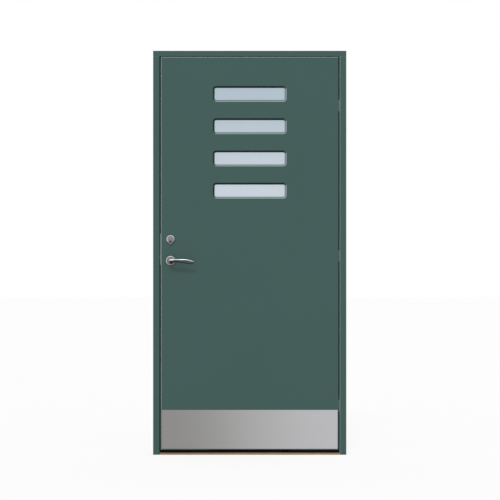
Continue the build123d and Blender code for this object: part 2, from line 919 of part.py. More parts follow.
with BuildPart() as lock_cam:
    with BuildSketch(face_plane(lock_y + inner_thickness / 2)):
        with Locations((spindle_x, cylinder_height)):
            Circle(cam_radius)
    extrude(amount=inner_thickness)
    with BuildSketch(face_plane(case_back)):
        with Locations((spindle_x, cylinder_height)):
            Circle(cam_bearing)
    extrude(amount=case_thickness)
    block(
        (spindle_x - cam_finger_width / 2, spindle_x + cam_finger_width / 2),
        (lock_y - tail_thickness / 2, lock_y + tail_thickness / 2),
        (cylinder_height - cam_reach, cylinder_height),
    )
    block(
        (spindle_x - tail_bar_thickness / 2, spindle_x + tail_bar_thickness / 2),
        (case_back, thumbturn_hub_y),
        (cylinder_height - tail_bar_width / 2, cylinder_height + tail_bar_width / 2),
    )
save(lock_cam, "lock_cam")

# Spindle and the two lever handles
spindle_out_y = front_y - neck_gap - spindle_grip
spindle_in_y = leaf_back_y + neck_gap + spindle_grip
with BuildPart() as spindle:
    block(
        (spindle_x - spindle_size / 2, spindle_x + spindle_size / 2),
        (spindle_out_y, spindle_in_y),
        (handle_height - spindle_size / 2, handle_height + spindle_size / 2),
    )
save(spindle, "spindle")

# Stations along the grip, as shares of its length, height, depth and droop
grip_stations = (
    (0.200, 0.750, 1.58, -0.009, 0.95),
    (0.327, 0.765, 1.25, 0.022, 0.85),
    (0.457, 0.870, 1.08, 0.076, 0.77),
    (0.600, 0.965, 0.97, 0.135, 0.69),
    (0.727, 0.974, 0.90, 0.230, 0.67),
    (0.865, 0.800, 0.85, 0.350, 0.70),
    (0.960, 0.500, 0.72, 0.340, 0.85),
    (0.996, 0.240, 0.50, 0.320, 1.00),
)


def grip_section(height, depth, waist):
    """A rounded ridge along the top that thins to a blade below it."""
    half = height / 2
    deep = depth / 2
    shoulder = sqrt(0.5)
    with BuildLine() as outline:
        Spline(
            (waist * deep, 0),
            (shoulder * deep, shoulder * half),
            (0, half),
            (-shoulder * deep, shoulder * half),
            (-waist * deep, 0),
            (-waist * shoulder * deep, -shoulder * half),
            (0, -half),
            (waist * shoulder * deep, -shoulder * half),
            periodic=True,
        )
    make_face(outline.edges())


def lever_blank(out):
    """A lever for a leaf whose face is at zero: a neck on the spindle, a round elbow, a drooping grip."""
    bend_y = out * (lever_stand_off - elbow_radius)
    grip_y = out * lever_stand_off
    with BuildPart() as blank:
        with BuildSketch(face_plane(out * neck_gap)):
            Circle(neck_diameter / 2)
        extrude(amount=out * neck_gap - bend_y)
        with BuildSketch(face_plane(bend_y)):
            Circle(neck_diameter / 2)
        revolve(axis=Axis((elbow_radius, bend_y, 0), (0, 0, -out)), revolution_arc=90)
        with BuildSketch(Plane((elbow_radius, grip_y, 0), x_dir=(0, 1, 0), z_dir=(1, 0, 0))):
            Circle(neck_diameter / 2)
        for along, height, depth, droop, waist in grip_stations:
            station = (along * lever_length, grip_y, -droop * lever_height)
            with BuildSketch(Plane(station, x_dir=(0, 1, 0), z_dir=(1, 0, 0))):
                grip_section(height * lever_height, depth * lever_depth, waist)
        loft()
        with BuildSketch(face_plane(out * neck_gap)):
            Rectangle(spindle_size, spindle_size)
        extrude(amount=-out * spindle_grip, mode=Mode.SUBTRACT)
    return blank


def lever(face_y, out):
    """A lever in its place on one face of the leaf."""
    with BuildPart() as handle:
        with Locations((spindle_x, face_y, handle_height)):
            add(lever_blank(out).part)
    return handle


save(lever(front_y, -1), "outside_lever")
save(lever(leaf_back_y, 1), "inside_lever")


def rose(face_y, out, centre_z, thickness, bore):
    """A round cover plate: a rounded rim, a dish inside it and a bore for what turns in it."""
    rim = rose_diameter / 2
    crest = rim - rose_edge
    bore_edge = bore / 2 + running_clearance
    dish = thickness - rose_dish
    centre = (spindle_x, face_y, centre_z)
    with BuildPart() as plate:
        with BuildSketch(Plane(centre, x_dir=(1, 0, 0), z_dir=(0, 0, out))):
            with BuildLine():
                Polyline(
                    (crest, thickness),
                    (crest - rose_rim, thickness),
                    (crest - rose_rim - rose_dish, dish),
                    (bore_edge, dish),
                    (bore_edge, 0),
                    (rim, 0),
                    (rim, thickness - rose_edge),
                )
                TangentArc((rim, thickness - rose_edge), (crest, thickness), tangent=(0, 1))
            make_face()
        revolve(axis=Axis(centre, (0, 1, 0)))
    return plate


save(rose(front_y, -1, handle_height, rose_thickness, neck_diameter), "outside_rose")
save(rose(leaf_back_y, 1, handle_height, rose_thickness, neck_diameter), "inside_rose")
save(
    rose(leaf_back_y, 1, cylinder_height, thumbturn_rose_thickness, thumbturn_hub),
    "thumbturn_rose",
)

# Inside thumbturn
with BuildPart() as thumbturn:
    with BuildSketch(face_plane(leaf_back_y + neck_gap)):
        with Locations((spindle_x, cylinder_height)):
            Circle(thumbturn_hub / 2)
    extrude(amount=neck_gap - thumbturn_rose_thickness)
    with BuildSketch(face_plane(thumbturn_hub_y)):
        with Locations((spindle_x, cylinder_height)):
            SlotOverall(thumbturn_length, thumbturn_width, rotation=90)
    extrude(amount=-thumbturn_height)
    fillet(thumbturn.faces().sort_by(Axis.Y)[-1].edges(), rose_edge)
    add(lock_cam.part, mode=Mode.SUBTRACT)
save(thumbturn, "thumbturn")

# Outside cylinder: a dished guard ring round an oval body, with the plug in its lower lobe
ring_z = cylinder_height + ring_rise
ring_front_y = front_y - ring_thickness
body_front_y = ring_front_y - lobe_stand_out

with BuildPart() as oval:
    with BuildSketch(face_plane(case_front)):
        with Locations((spindle_x, cylinder_height + ring_rise / 2)):
            SlotCenterToCenter(ring_rise, 2 * lobe_radius, rotation=90)
    extrude(amount=case_front - body_front_y)

with BuildPart() as cylinder_ring:
    with BuildSketch(Plane((spindle_x, front_y, ring_z), x_dir=(1, 0, 0), z_dir=(0, 0, 1))):
        Polygon(
            (0, 0),
            (ring_diameter / 2, 0),
            (ring_diameter / 2, -ring_thickness / 2),
            (ring_diameter / 2 - ring_rim / 2, -ring_thickness),
            (ring_diameter / 2 - ring_rim, -ring_thickness),
            (0, ring_dish - ring_thickness),
            align=None,
        )
    revolve(axis=Axis((spindle_x, front_y, ring_z), (0, 1, 0)))
    add(oval.part, mode=Mode.SUBTRACT)
save(cylinder_ring, "cylinder_ring")

with BuildPart() as cylinder_body:
    add(oval.part)
    fillet(cylinder_body.faces().sort_by(Axis.Y)[0].edges(), rose_edge / 2)
    with BuildSketch(face_plane(case_front)):
        with Locations((spindle_x, cylinder_height)):
            Circle(plug_diameter / 2 + running_clearance)
    extrude(amount=case_front - body_front_y, mode=Mode.SUBTRACT)
save(cylinder_body, "cylinder_body")

with BuildPart() as cylinder_plug:
    with BuildSketch(face_plane(plug_back_y)):
        with Locations((spindle_x, cylinder_height)):
            Circle(plug_diameter / 2)
    extrude(amount=plug_back_y - body_front_y)
    with BuildSketch(face_plane(body_front_y)):
        with Locations((spindle_x, cylinder_height)):
            Rectangle(keyhole_width, keyhole_height)
    extrude(amount=-keyhole_depth, mode=Mode.SUBTRACT)
save(cylinder_plug, "cylinder_plug")
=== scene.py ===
import json
from math import pi, radians

import bmesh
import bpy
from bpy.props import FloatProperty, FloatVectorProperty, IntProperty, PointerProperty
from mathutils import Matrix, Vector


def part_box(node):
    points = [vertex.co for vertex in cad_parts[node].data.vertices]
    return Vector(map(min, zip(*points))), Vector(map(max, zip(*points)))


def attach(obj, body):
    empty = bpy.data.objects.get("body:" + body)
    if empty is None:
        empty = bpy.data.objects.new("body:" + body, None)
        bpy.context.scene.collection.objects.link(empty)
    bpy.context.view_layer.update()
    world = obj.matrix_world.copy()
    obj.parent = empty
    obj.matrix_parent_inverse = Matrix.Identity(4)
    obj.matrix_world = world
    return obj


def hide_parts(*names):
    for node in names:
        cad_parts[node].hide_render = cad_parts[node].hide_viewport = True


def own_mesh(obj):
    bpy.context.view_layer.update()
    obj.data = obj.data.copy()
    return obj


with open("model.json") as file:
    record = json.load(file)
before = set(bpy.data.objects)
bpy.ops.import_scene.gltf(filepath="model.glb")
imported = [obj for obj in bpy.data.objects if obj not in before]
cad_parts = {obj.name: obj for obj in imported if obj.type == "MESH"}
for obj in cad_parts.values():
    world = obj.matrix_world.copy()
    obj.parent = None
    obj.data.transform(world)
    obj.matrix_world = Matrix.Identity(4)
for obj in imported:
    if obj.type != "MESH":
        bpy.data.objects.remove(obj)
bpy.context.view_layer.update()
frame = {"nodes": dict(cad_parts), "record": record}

bl_info = {
    "name": "Flush Front Door",
    "version": (1, 0, 0),
    "blender": (4, 5, 0),
    "location": "View3D > Sidebar > Door",
    "description": "Finishes and small details of a painted front door in its frame",
    "category": "Object",
}

NODES = frame["nodes"]
JOINTS = frame["record"]["behaviour"]["joints"]
LEAF_LOW, LEAF_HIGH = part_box("outer_skin")
PLATE_LOW, PLATE_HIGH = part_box("kick_plate")
FRAME_LOW, FRAME_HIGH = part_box("frame_head")
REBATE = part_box("threshold")[1].x
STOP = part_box("frame_seal")[1].y
WINDOW_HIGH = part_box("outer_pane_1")[1]
WINDOWS = (1, 2, 3, 4)

# Each screw node, the body that it rides on and the way its heads face along X
SCREW_SETS = (
    ("strike_plate_screws", "frame", 1),
    ("hinge_bracket_screws", "frame", -1),
    ("forend_screws", "leaf", -1),
    ("hinge_arm_screws", "leaf", 1),
)

# Faces this near to a place, in metres, are taken to lie on it
TOUCH = 1e-5

# The length over which one coat of a finish gives way to the next, in metres
FADE = 0.001

# The width of a screw's point and of its recess's bottom, and how far the points between the
# arms of its cross stand out, each as a share of what it narrows from
POINT = 0.2
RECESS_BOTTOM = 0.7
BETWEEN_ARMS = 0.4

# How finely curves are cut up
SCREW_SIDES = 24
WIRE_SIDES = 8
STEPS_IN_A_TURN = 24
CORNER_STEPS = 8
SMOOTH_ANGLE = radians(35)

# The way to the key light
KEY_PLACE = Vector((-0.15, -1, 0.95))


def tone(red, green, blue):
    """The linear colour of a paint chip that is given from 0 to 255"""
    steps = [part / 255 for part in (red, green, blue)]
    return [s / 12.92 if s <= 0.04045 else ((s + 0.055) / 1.055) ** 2.4 for s in steps]


def colour(name, description, chip):
    return FloatVectorProperty(
        name=name, description=description, default=tone(*chip), min=0, max=1, size=3,
        subtype="COLOR",
    )


def length(name, description, default):
    return FloatProperty(
        name=name, description=description, default=default, min=0,
        unit="LENGTH", subtype="DISTANCE",
    )


def share(name, description, default):
    return FloatProperty(
        name=name, description=description, default=default, min=0, max=1, subtype="FACTOR"
    )


class DoorColours(bpy.types.PropertyGroup):
    """The colours that the door is ordered in, and the painted highlights, painted shade and
    painted reflections that stand in for light on it
    """

    paint: colour("Paint", "Satin paint on the leaf and the frame", (64, 90, 86))
    # Painted highlight and painted shade on rounded edges: the next three colours stand in for
    # light from above at the lock side
    arris_lit: colour("Lit edge", "Long edges that face up or to the lock side", (168, 190, 186))
    bevel_lit: colour("Lit window edge", "Window edges that face the same way", (134, 158, 154))
    arris_shade: colour("Shaded edge", "Edges that face down or to the hinges", (24, 38, 40))
    # Painted shade: the next colour darkens the frame's rebate faces in the gap round the leaf
    rebate: colour("Rebate", "Duller paint deep in the frame's rebate", (38, 56, 54))
    oak_dark: colour("Oak grain", "Dark grain of the threshold", (124, 96, 64))
    oak_pale: colour("Oak", "Pale wood of the threshold", (164, 139, 105))
    # Painted shade: the next colour darkens the tread under the leaf and the top of the threshold's
    # front edge, where the leaf shades them
    oak_painted_shade: colour("Trodden oak", "Darkened wood on the tread under the leaf", (52, 38, 25))
    pine_dark: colour("Pine grain", "Dark grain of the stiles and rails", (176, 132, 84))
    pine_pale: colour("Pine", "Pale wood of the stiles and rails", (214, 180, 130))
    foam: colour("Foam", "Insulation inside the leaf", (226, 214, 168))
    # Frosted glass with painted light: the next two colours make the panes paler from the top
    # window to the lowest
    glass_and_painted_light_top: colour("Upper glass", "Frosted glass of the top window", (174, 190, 202))
    glass_and_painted_light_bottom: colour("Lower glass", "Frosted glass of the lowest window", (199, 209, 218))
    gasket: colour("Rubber", "Seals and glazing gaskets", (24, 27, 28))
    # Brushed steel with a painted reflection: the next three colours run across the kick plate from
    # the lock side to the hinge side
    steel_painted_reflection_left: colour("Steel at the lock side", "Plate at the lock side", (146, 145, 143))
    steel_painted_reflection_middle: colour("Steel in the middle", "Plate in the middle", (171, 171, 171))
    steel_painted_reflection_right: colour("Steel at the hinge side", "Plate at the hinge side", (188, 188, 190))
    # Satin chrome with painted light: apart from the chrome facing out, the next colours are
    # painted highlight and painted shade, picked by the way a surface faces and placed under the
    # necks
    chrome_light: colour("Bright chrome", "Levers facing up, and the ring's rim", (240, 240, 242))
    chrome_rim: colour("Chrome rims", "Rims of the roses", (190, 188, 188))
    chrome_front: colour("Chrome in front", "Roses and ring where they face out", (136, 132, 131))
    chrome_low: colour("Chrome grip", "Levers where they face out", (90, 88, 88))
    chrome_dark: colour("Dark chrome", "Chrome facing down, and under the necks", (52, 52, 54))
    plug: colour("Cylinder plug", "Worn face of the plug round the keyhole", (74, 70, 71))
    # Steel with painted shade and reflection: the next colour is steel dimmed and tinted by the
    # green paint, as the forend looks deep in the gap
    forend: colour("Forend", "Steel plate in the leaf's edge", (112, 124, 123))
    zinc: colour("Zinc", "Plated steel of the lock and the hinges", (172, 174, 176))
    spacer: colour("Spacer", "Bars between the panes", (120, 122, 124))


class DoorSizes(bpy.types.PropertyGroup):
    """The sizes of the fine details"""

    glass_overlap: length("Glass overlap", "How far each pane runs past its window's edge", 0.012)
    window_corner: length("Window corner", "Radius of each window's corners", 0.01)
    gasket_width: length("Gasket width", "Width of the gasket that shows round the glass", 0.0014)
    gasket_height: length("Gasket height", "How far the gasket stands off the glass", 0.001)
    nosing: length("Tread edge", "Height of the front edge of the threshold", 0.013)
    screw_head: length("Screw head", "Radius of a countersunk screw's head", 0.0042)
    screw_shank: length("Screw shank", "Radius of a screw's shank", 0.002)
    recess: length("Cross recess", "Reach of the cross in a screw's head", 0.0026)
    recess_depth: length("Recess depth", "Depth of the cross in a screw's head", 0.0014)
    spring_wire: length("Spring wire", "Radius of the wire of the latch's spring", 0.0005)
    spring_turns: IntProperty(
        name="Spring turns", description="Turns of the latch's spring", default=6, min=2
    )
    peel: share("Orange peel", "Strength of the fine bumps in the paint", 0.06)
    brushing: share("Brushing", "Strength of the brush lines in the steel", 0.12)


class StageSettings(bpy.types.PropertyGroup):
    """The studio round the door"""

    sky: share("Soft light", "Strength of the light from all round", 0.82)
    key: FloatProperty(
        name="Key light", description="Strength of the lamp above the lock side", default=0.7, min=0
    )
    key_width: FloatProperty(
        name="Key softness", description="How wide the lamp looks", default=radians(11), min=0,
        subtype="ANGLE",
    )
    camera_distance: length("Camera distance", "From the face of the frame to the camera", 9.0)
    camera_height: length("Camera height", "Height of the camera above the floor", 1.0544)
    camera_shift: length("Camera side", "Place of the camera to the right of the middle", 0.0015)
    picture_width: length("Picture width", "What the picture spans at the frame's face", 2.5745)
    sensor_width: FloatProperty(
        name="Sensor width", description="Width of the camera's sensor", default=36.0, min=1,
        unit="CAMERA",
    )
    sight: length("Sight", "How far the camera sees", 200.0)
    floor_size: length("Floor", "Length of the floor's sides", 60.0)
    floor_colour: colour("Floor", "Colour of the floor", (246, 246, 246))
    floor_white: share("Floor white", "Share of plain white that the camera sees in it", 0.82)


class Wire:
    """A socket of a material, so that a sum or product of wires adds its Math nodes"""

    def __init__(self, tree, socket=None):
        self.tree = tree
        self.socket = socket

    def node(self, kind, settings=None, sockets=None, output=0):
        """Add a node of a kind with its settings and the values or wires of its sockets"""
        made = self.tree.nodes.new(kind)
        for name, value in (settings or {}).items():
            if name == "stops":
                ramp = made.color_ramp.elements
                while len(ramp) < len(value):
                    ramp.new(0.5)
                for stop, (place, chip) in zip(ramp, value):
                    stop.position = place
                    stop.color = (*chip, 1)
            else:
                setattr(made, name, value)
        for name, value in (sockets or {}).items():
            if isinstance(value, Wire):
                self.tree.links.new(value.socket, made.inputs[name])
            else:
                made.inputs[name].default_value = value
        return Wire(self.tree, made.outputs[output])

    def maths(self, operation, first, second=0.0):
        return self.node("ShaderNodeMath", {"operation": operation}, {0: first, 1: second})

    def __add__(self, other):
        return self.maths("ADD", self, other)

    __radd__ = __add__

    def __mul__(self, other):
        return self.maths("MULTIPLY", self, other)

    __rmul__ = __mul__

    def __sub__(self, other):
        return self.maths("SUBTRACT", self, other)

    def __rsub__(self, other):
        return self.maths("SUBTRACT", other, self)

    def __truediv__(self, other):
        return self.maths("DIVIDE", self, other)

    def __abs__(self):
        return self.maths("ABSOLUTE", self)

    def __or__(self, other):
        return self.maths("MAXIMUM", self, other)

    def root(self):
        return self.maths("SQRT", self)

    def rise(self, low, high):
        """From 0 at low to 1 at high, with a soft start and end"""
        settings = {"interpolation_type": "SMOOTHSTEP"}
        return self.node("ShaderNodeMapRange", settings, {"Value": self, 1: low, 2: high})

    def mix(self, first, second):
        """The first colour where this is 0 and the second where it is 1"""
        pair = {0: self}
        for name, value in ((6, first), (7, second)):
            pair[name] = value if isinstance(value, Wire) else (*value, 1)
        return self.node("ShaderNodeMix", {"data_type": "RGBA"}, pair, 2)

    def tint(self, shade):
        """This colour multiplied by another one"""
        settings = {"data_type": "RGBA", "blend_type": "MULTIPLY"}
        return self.node("ShaderNodeMix", settings, {0: 1.0, 6: self, 7: shade}, 2)

    def background_rays(self):
        """1 for what the camera sees, also by way of metal and glass, and 0 for other rays"""
        rays = self.node("ShaderNodeLightPath").socket.node.outputs
        kinds = ("Camera", "Glossy", "Transmission")
        camera, glossy, through = (Wire(self.tree, rays[f"Is {kind} Ray"]) for kind in kinds)
        return camera | glossy | through


class Finish:
    """A new material with its main shader, and the places and patterns that feed it"""

    def __init__(self, name, **constants):
        self.material = bpy.data.materials.new(name)
        self.material.use_nodes = True
        tree = self.material.node_tree
        self.shader = tree.nodes["Principled BSDF"]
        self.pen = Wire(tree)
        for socket, value in constants.items():
            self.shader.inputs[socket.replace("_", " ")].default_value = value

    def feed(self, socket, wire):
        self.pen.tree.links.new(wire.socket, self.shader.inputs[socket])

    def place(self):
        return self.pen.node("ShaderNodeTexCoord", output=3)

    def parts(self, vector):
        split = self.pen.node("ShaderNodeSeparateXYZ", sockets={0: vector})
        return [Wire(self.pen.tree, output) for output in split.socket.node.outputs]

    def axes(self):
        """The three coordinates of a point of the piece"""
        return self.parts(self.place())

    def facing(self):
        """The three parts of the direction that the surface faces"""
        return self.parts(self.pen.node("ShaderNodeTexCoord", output=1))

    def noise(self, scale, detail=3.0, stretch=(1, 1, 1), roughness=0.5):
        """Cloudy noise, with its scale in marks for each metre"""
        sockets = {"Vector": self.place(), "Scale": stretch}
        spread = self.pen.node("ShaderNodeMapping", sockets=sockets)
        sockets = {"Vector": spread, "Scale": scale, "Detail": detail, "Roughness": roughness}
        return self.pen.node("ShaderNodeTexNoise", sockets=sockets)

    def bump(self, height, strength, distance):
        sockets = {"Height": height, "Strength": strength, "Distance": distance}
        self.feed("Normal", self.pen.node("ShaderNodeBump", sockets=sockets))


def wear(finish, *pieces):
    """Give the finish to CAD nodes by name and to new pieces"""
    for piece in pieces:
        item = NODES[piece] if isinstance(piece, str) else piece
        item.data.materials.clear()
        item.data.materials.append(finish.material)


def colours():
    return bpy.context.scene.door_colours


def sizes():
    return bpy.context.scene.door_sizes


def take_up(name):
    """Name the new primitive, put its place in its mesh and enter edit mode"""
    item = bpy.context.object
    item.name = name
    item.data.name = name
    bpy.ops.object.transform_apply()
    bpy.ops.object.mode_set(mode="EDIT")
    return item


def pick(item, kind, test):
    """Select the faces or vertices whose middle passes the test, and nothing else"""
    bpy.ops.mesh.select_all(action="DESELECT")
    mesh = bmesh.from_edit_mesh(item.data)
    found = 0
    for part in getattr(mesh, kind):
        points = [part.co] if kind == "verts" else [vertex.co for vertex in part.verts]
        if test(sum(points, Vector()) / len(points)):
            part.select_set(True)
            found += 1
    if not found:
        raise RuntimeError(f"no {kind} of {item.name} pass the test")
    mesh.select_flush_mode()
    bmesh.update_edit_mesh(item.data)


def harden(item, kind, **settings):
    """Add a modifier with its settings and apply it"""
    modifier = item.modifiers.new(kind.lower(), kind)
    for name, value in settings.items():
        setattr(modifier, name, value)
    bpy.context.view_layer.objects.active = item
    bpy.ops.object.modifier_apply(modifier=modifier.name)


def put_down(item, body):
    """Leave edit mode, shade the curves smooth and let the piece ride on its body"""
    if bpy.context.mode == "EDIT_MESH":
        bpy.ops.mesh.select_all(action="SELECT")
        bpy.ops.mesh.normals_make_consistent(inside=False)
        bpy.ops.object.mode_set(mode="OBJECT")
    bpy.ops.object.select_all(action="DESELECT")
    item.select_set(True)
    bpy.context.view_layer.objects.active = item
    bpy.ops.object.shade_smooth_by_angle(angle=SMOOTH_ANGLE)
    item.select_set(False)
    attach(item, body)


def paint_layer(finish):
    """The paint's colour, with a little cloudiness"""
    chips = colours()
    dark = [part * 0.96 for part in chips.paint]
    pale = [part * 1.04 for part in chips.paint]
    return finish.noise(3, 4).mix(dark, pale)


def paint_finish():
    """Satin paint, with a painted highlight on edges that face up or to the lock side, painted
    shade on the others, and painted shade on the frame's rebate faces
    """
    finish = Finish("satin_paint", Roughness=0.42, Specular_IOR_Level=0.15)
    chips = colours()
    across, depth, up = finish.facing()
    side, front, height = finish.axes()
    inside = 1 - abs(side).rise(FRAME_HIGH.x - 4 * FADE, FRAME_HIGH.x - 2 * FADE)
    inside = inside * (1 - height.rise(FRAME_HIGH.z - 4 * FADE, FRAME_HIGH.z - 2 * FADE))
    rounded = inside * (1 - (abs(across) | abs(depth) | abs(up)).rise(0.93, 0.99))
    reach = 20 * FADE
    beside_window = abs(side).rise(WINDOW_HIGH.x, WINDOW_HIGH.x + reach)
    window = 1 - (beside_window | height.rise(WINDOW_HIGH.z, WINDOW_HIGH.z + reach))
    lock_jamb = 1 - side.rise(-REBATE, FADE - REBATE)
    # Painted highlight on rounded edges that face up or to the lock side, and painted shade on
    # edges round the windows and on the lock jamb that face down or to the hinges
    lit = rounded * (up - across).rise(0.2, 0.65)
    shaded = rounded * (window | lock_jamb) * (0.8 * across - up).rise(0.1, 0.7)
    coat = lit.mix(paint_layer(finish), window.mix(chips.arris_lit, chips.bevel_lit))
    coat = shaded.mix(coat, chips.arris_shade)
    # Painted shade on the frame's rebate faces, from just behind the frame's face back to the stop
    deep = front.rise(FRAME_LOW.y + 3 * FADE, FRAME_LOW.y + 6 * FADE)
    deep = deep * (1 - front.rise(STOP, STOP + FADE))
    rebate_painted_shade = deep * abs(side).rise(REBATE - FADE, REBATE - FADE / 2)
    rebate_painted_shade = rebate_painted_shade * abs(across).rise(0.8, 0.9) * inside
    coat = rebate_painted_shade.mix(coat, chips.rebate)
    finish.feed("Base Color", coat)
    finish.feed("Roughness", 0.38 + 0.08 * finish.noise(40, 2))
    finish.bump(finish.noise(900, 2), sizes().peel, 0.0002)
    return finish


def grain(finish, stretch):
    """The wood's roughness and pores, and its grain as a shade from 0 to 1"""
    rings = finish.noise(1, 5, stretch, 0.62)
    pores = finish.noise(6, 2, stretch, 0.5)
    finish.feed("Roughness", 0.5 + 0.2 * rings)
    finish.bump(pores, 0.2, 0.0004)
    return (rings * 0.7 + pores * 0.3).rise(0.34, 0.66)


class DOOR_OT_paintwork(bpy.types.Operator):
    """Paint the frame, the skins, the glazing beads and the cover caps"""

    bl_idname = "door.paintwork"
    bl_label = "Paintwork"

    def execute(self, context):
        beads = [f"glazing_bead_{number}" for number in WINDOWS]
        wear(paint_finish(), "frame_head", "lock_jamb", "hinge_jamb", "outer_skin", "inner_skin",
             "fixing_cover_caps", *beads)
        return {"FINISHED"}


class DOOR_OT_threshold(bpy.types.Operator):
    """Give the threshold its oiled oak, with painted shade on the tread under the leaf and along
    the top of its front edge
    """

    bl_idname = "door.threshold"
    bl_label = "Threshold"

    def execute(self, context):
        chips = colours()
        finish = Finish("oiled_oak", Specular_IOR_Level=0.3)
        wood = grain(finish, (3, 90, 90)).mix(chips.oak_dark, chips.oak_pale)
        depth, up = finish.axes()[1:]
        # Painted shade on the tread under the leaf, and along the top of the front edge below the
        # gap under the leaf
        under_leaf = depth.rise(FRAME_LOW.y, FRAME_LOW.y + 6 * FADE)
        under_leaf = under_leaf * finish.facing()[2].rise(0.3, 0.8)
        edge = sizes().nosing
        nosing = up.rise(edge - 5 * FADE, edge - FADE)
        nosing = nosing * (1 - depth.rise(FRAME_HIGH.y - 10 * FADE, FRAME_HIGH.y))
        tread_painted_shade = under_leaf | nosing
        finish.feed("Base Color", tread_painted_shade.mix(wood, chips.oak_painted_shade))
        wear(finish, "threshold")
        return {"FINISHED"}


class DOOR_OT_leaf_inside(bpy.types.Operator):
    """Give the stiles and rails their pine, painted at the leaf's edges, and the core its foam"""

    bl_idname = "door.leaf_inside"
    bl_label = "Inside of the leaf"

    def execute(self, context):
        chips = colours()
        finish = Finish("painted_pine", Specular_IOR_Level=0.3)
        across, _, up = finish.axes()
        wood = grain(finish, (90, 90, 3)).mix(chips.pine_dark, chips.pine_pale)
        side = abs(across).rise(LEAF_HIGH.x - 2 * FADE, LEAF_HIGH.x - FADE)
        top = up.rise(LEAF_HIGH.z - 2 * FADE, LEAF_HIGH.z - FADE)
        foot = 1 - up.rise(LEAF_LOW.z + FADE, LEAF_LOW.z + 2 * FADE)
        finish.feed("Base Color", (side | top | foot).mix(wood, paint_layer(finish)))
        wear(finish, "lock_stile", "hinge_stile", "top_rail", "bottom_rail")
        foam = Finish("foam", Roughness=0.9, Specular_IOR_Level=0.1)
        cells = foam.noise(350, 2)
        foam.feed("Base Color", cells.mix([part * 0.85 for part in chips.foam], chips.foam))
        foam.bump(cells, 0.3, 0.0008)
        wear(foam, "insulation_core")
        return {"FINISHED"}


class DOOR_OT_glazing(bpy.types.Operator):
    """Frost the panes, with painted light that makes them paler towards the lowest window, and
    finish the spacer bars
    """

    bl_idname = "door.glazing"
    bl_label = "Glazing"

    def execute(self, context):
        chips = colours()
        finish = Finish("frosted_glass", Roughness=0.35, Coat_Weight=0.3, Coat_Roughness=0.12)
        up = finish.axes()[2]
        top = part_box("outer_pane_1")[1].z
        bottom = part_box("outer_pane_4")[0].z
        # Painted light: the glass is paler the lower it sits
        glass = up.rise(bottom, top).mix(chips.glass_and_painted_light_bottom, chips.glass_and_painted_light_top)
        cloud = finish.noise(7, 2).mix([0.97] * 3, [1.03] * 3)
        finish.feed("Base Color", glass.tint(cloud))
        finish.bump(finish.noise(1500, 2), 0.05, 0.0001)
        sides = ("outer", "inner")
        wear(finish, *(f"{side}_pane_{number}" for side in sides for number in WINDOWS))
        bars = Finish("spacer_bar", Metallic=0.8)
        shade = [part * 0.9 for part in chips.spacer]
        bars.feed("Base Color", bars.noise(60).mix(shade, chips.spacer))
        bars.feed("Roughness", 0.4 + 0.1 * bars.noise(200))
        wear(bars, "pane_spacers")
        return {"FINISHED"}


class DOOR_OT_gaskets(bpy.types.Operator):
    """Model the gasket that shows round each pane, outside and inside"""

    bl_idname = "door.gaskets"
    bl_label = "Glazing gaskets"

    def execute(self, context):
        gauge = sizes()
        chip = colours().gasket
        finish = Finish("gasket_rubber", Roughness=0.6, Specular_IOR_Level=0.3)
        worn = [part * 1.6 + 0.004 for part in chip]
        finish.feed("Base Color", finish.noise(120).mix(chip, worn))
        for side, out in (("outer", -1), ("inner", 1)):
            for number in WINDOWS:
                low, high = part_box(f"{side}_pane_{number}")
                face = low.y if out < 0 else high.y
                middle = Vector(((low.x + high.x) / 2, face, (low.z + high.z) / 2))
                item = self.ring(f"{side}_gasket_{number}", middle, high - low, out, gauge)
                put_down(item, "leaf")
                wear(finish, item)
        return {"FINISHED"}

    def ring(self, name, middle, size, out, gauge):
        width = size.x - 2 * gauge.glass_overlap
        height = size.z - 2 * gauge.glass_overlap
        bpy.ops.mesh.primitive_plane_add(size=1, location=middle, rotation=(pi / 2, 0, 0))
        bpy.context.object.scale = (width, height, 1)
        item = take_up(name)
        bpy.ops.mesh.select_all(action="SELECT")
        bpy.ops.mesh.bevel(offset=gauge.window_corner, segments=CORNER_STEPS, affect="VERTICES")
        bpy.ops.mesh.inset(thickness=gauge.gasket_width)
        bpy.ops.mesh.delete(type="FACE")
        bpy.ops.object.mode_set(mode="OBJECT")
        facing = item.data.polygons[0].normal.y * out
        harden(item, "SOLIDIFY", thickness=gauge.gasket_height, offset=1 if facing > 0 else -1)
        harden(item, "BEVEL", width=gauge.gasket_height / 3, segments=2, limit_method="ANGLE")
        return item


def brushed(finish, metal, stretch):
    """Fine brush lines in a metal's colour"""
    lines = finish.noise(1, 4, stretch, 0.7)
    strength = sizes().brushing
    finish.feed("Base Color", metal.tint(lines.mix([1 - strength] * 3, [1 + strength] * 3)))
    finish.feed("Roughness", 0.3 + 0.14 * lines)
    finish.bump(lines, 0.08, 0.0002)


class DOOR_OT_kick_plate(bpy.types.Operator):
    """Brush the kick plate along its length, with a painted reflection that grows paler from the
    lock side to the hinge side
    """

    bl_idname = "door.kick_plate"
    bl_label = "Kick plate"

    def execute(self, context):
        chips = colours()
        finish = Finish("brushed_plate", Metallic=1.0)
        # Painted reflection: the steel grows paler from the lock side to the hinge side
        along = finish.axes()[0].rise(PLATE_LOW.x, PLATE_HIGH.x)
        stops = [(0.0, chips.steel_painted_reflection_left), (0.5, chips.steel_painted_reflection_middle), (1.0, chips.steel_painted_reflection_right)]
        metal = finish.pen.node("ShaderNodeValToRGB", {"stops": stops}, {0: along})
        brushed(finish, metal, (4, 1, 900))
        wear(finish, "kick_plate")
        return {"FINISHED"}


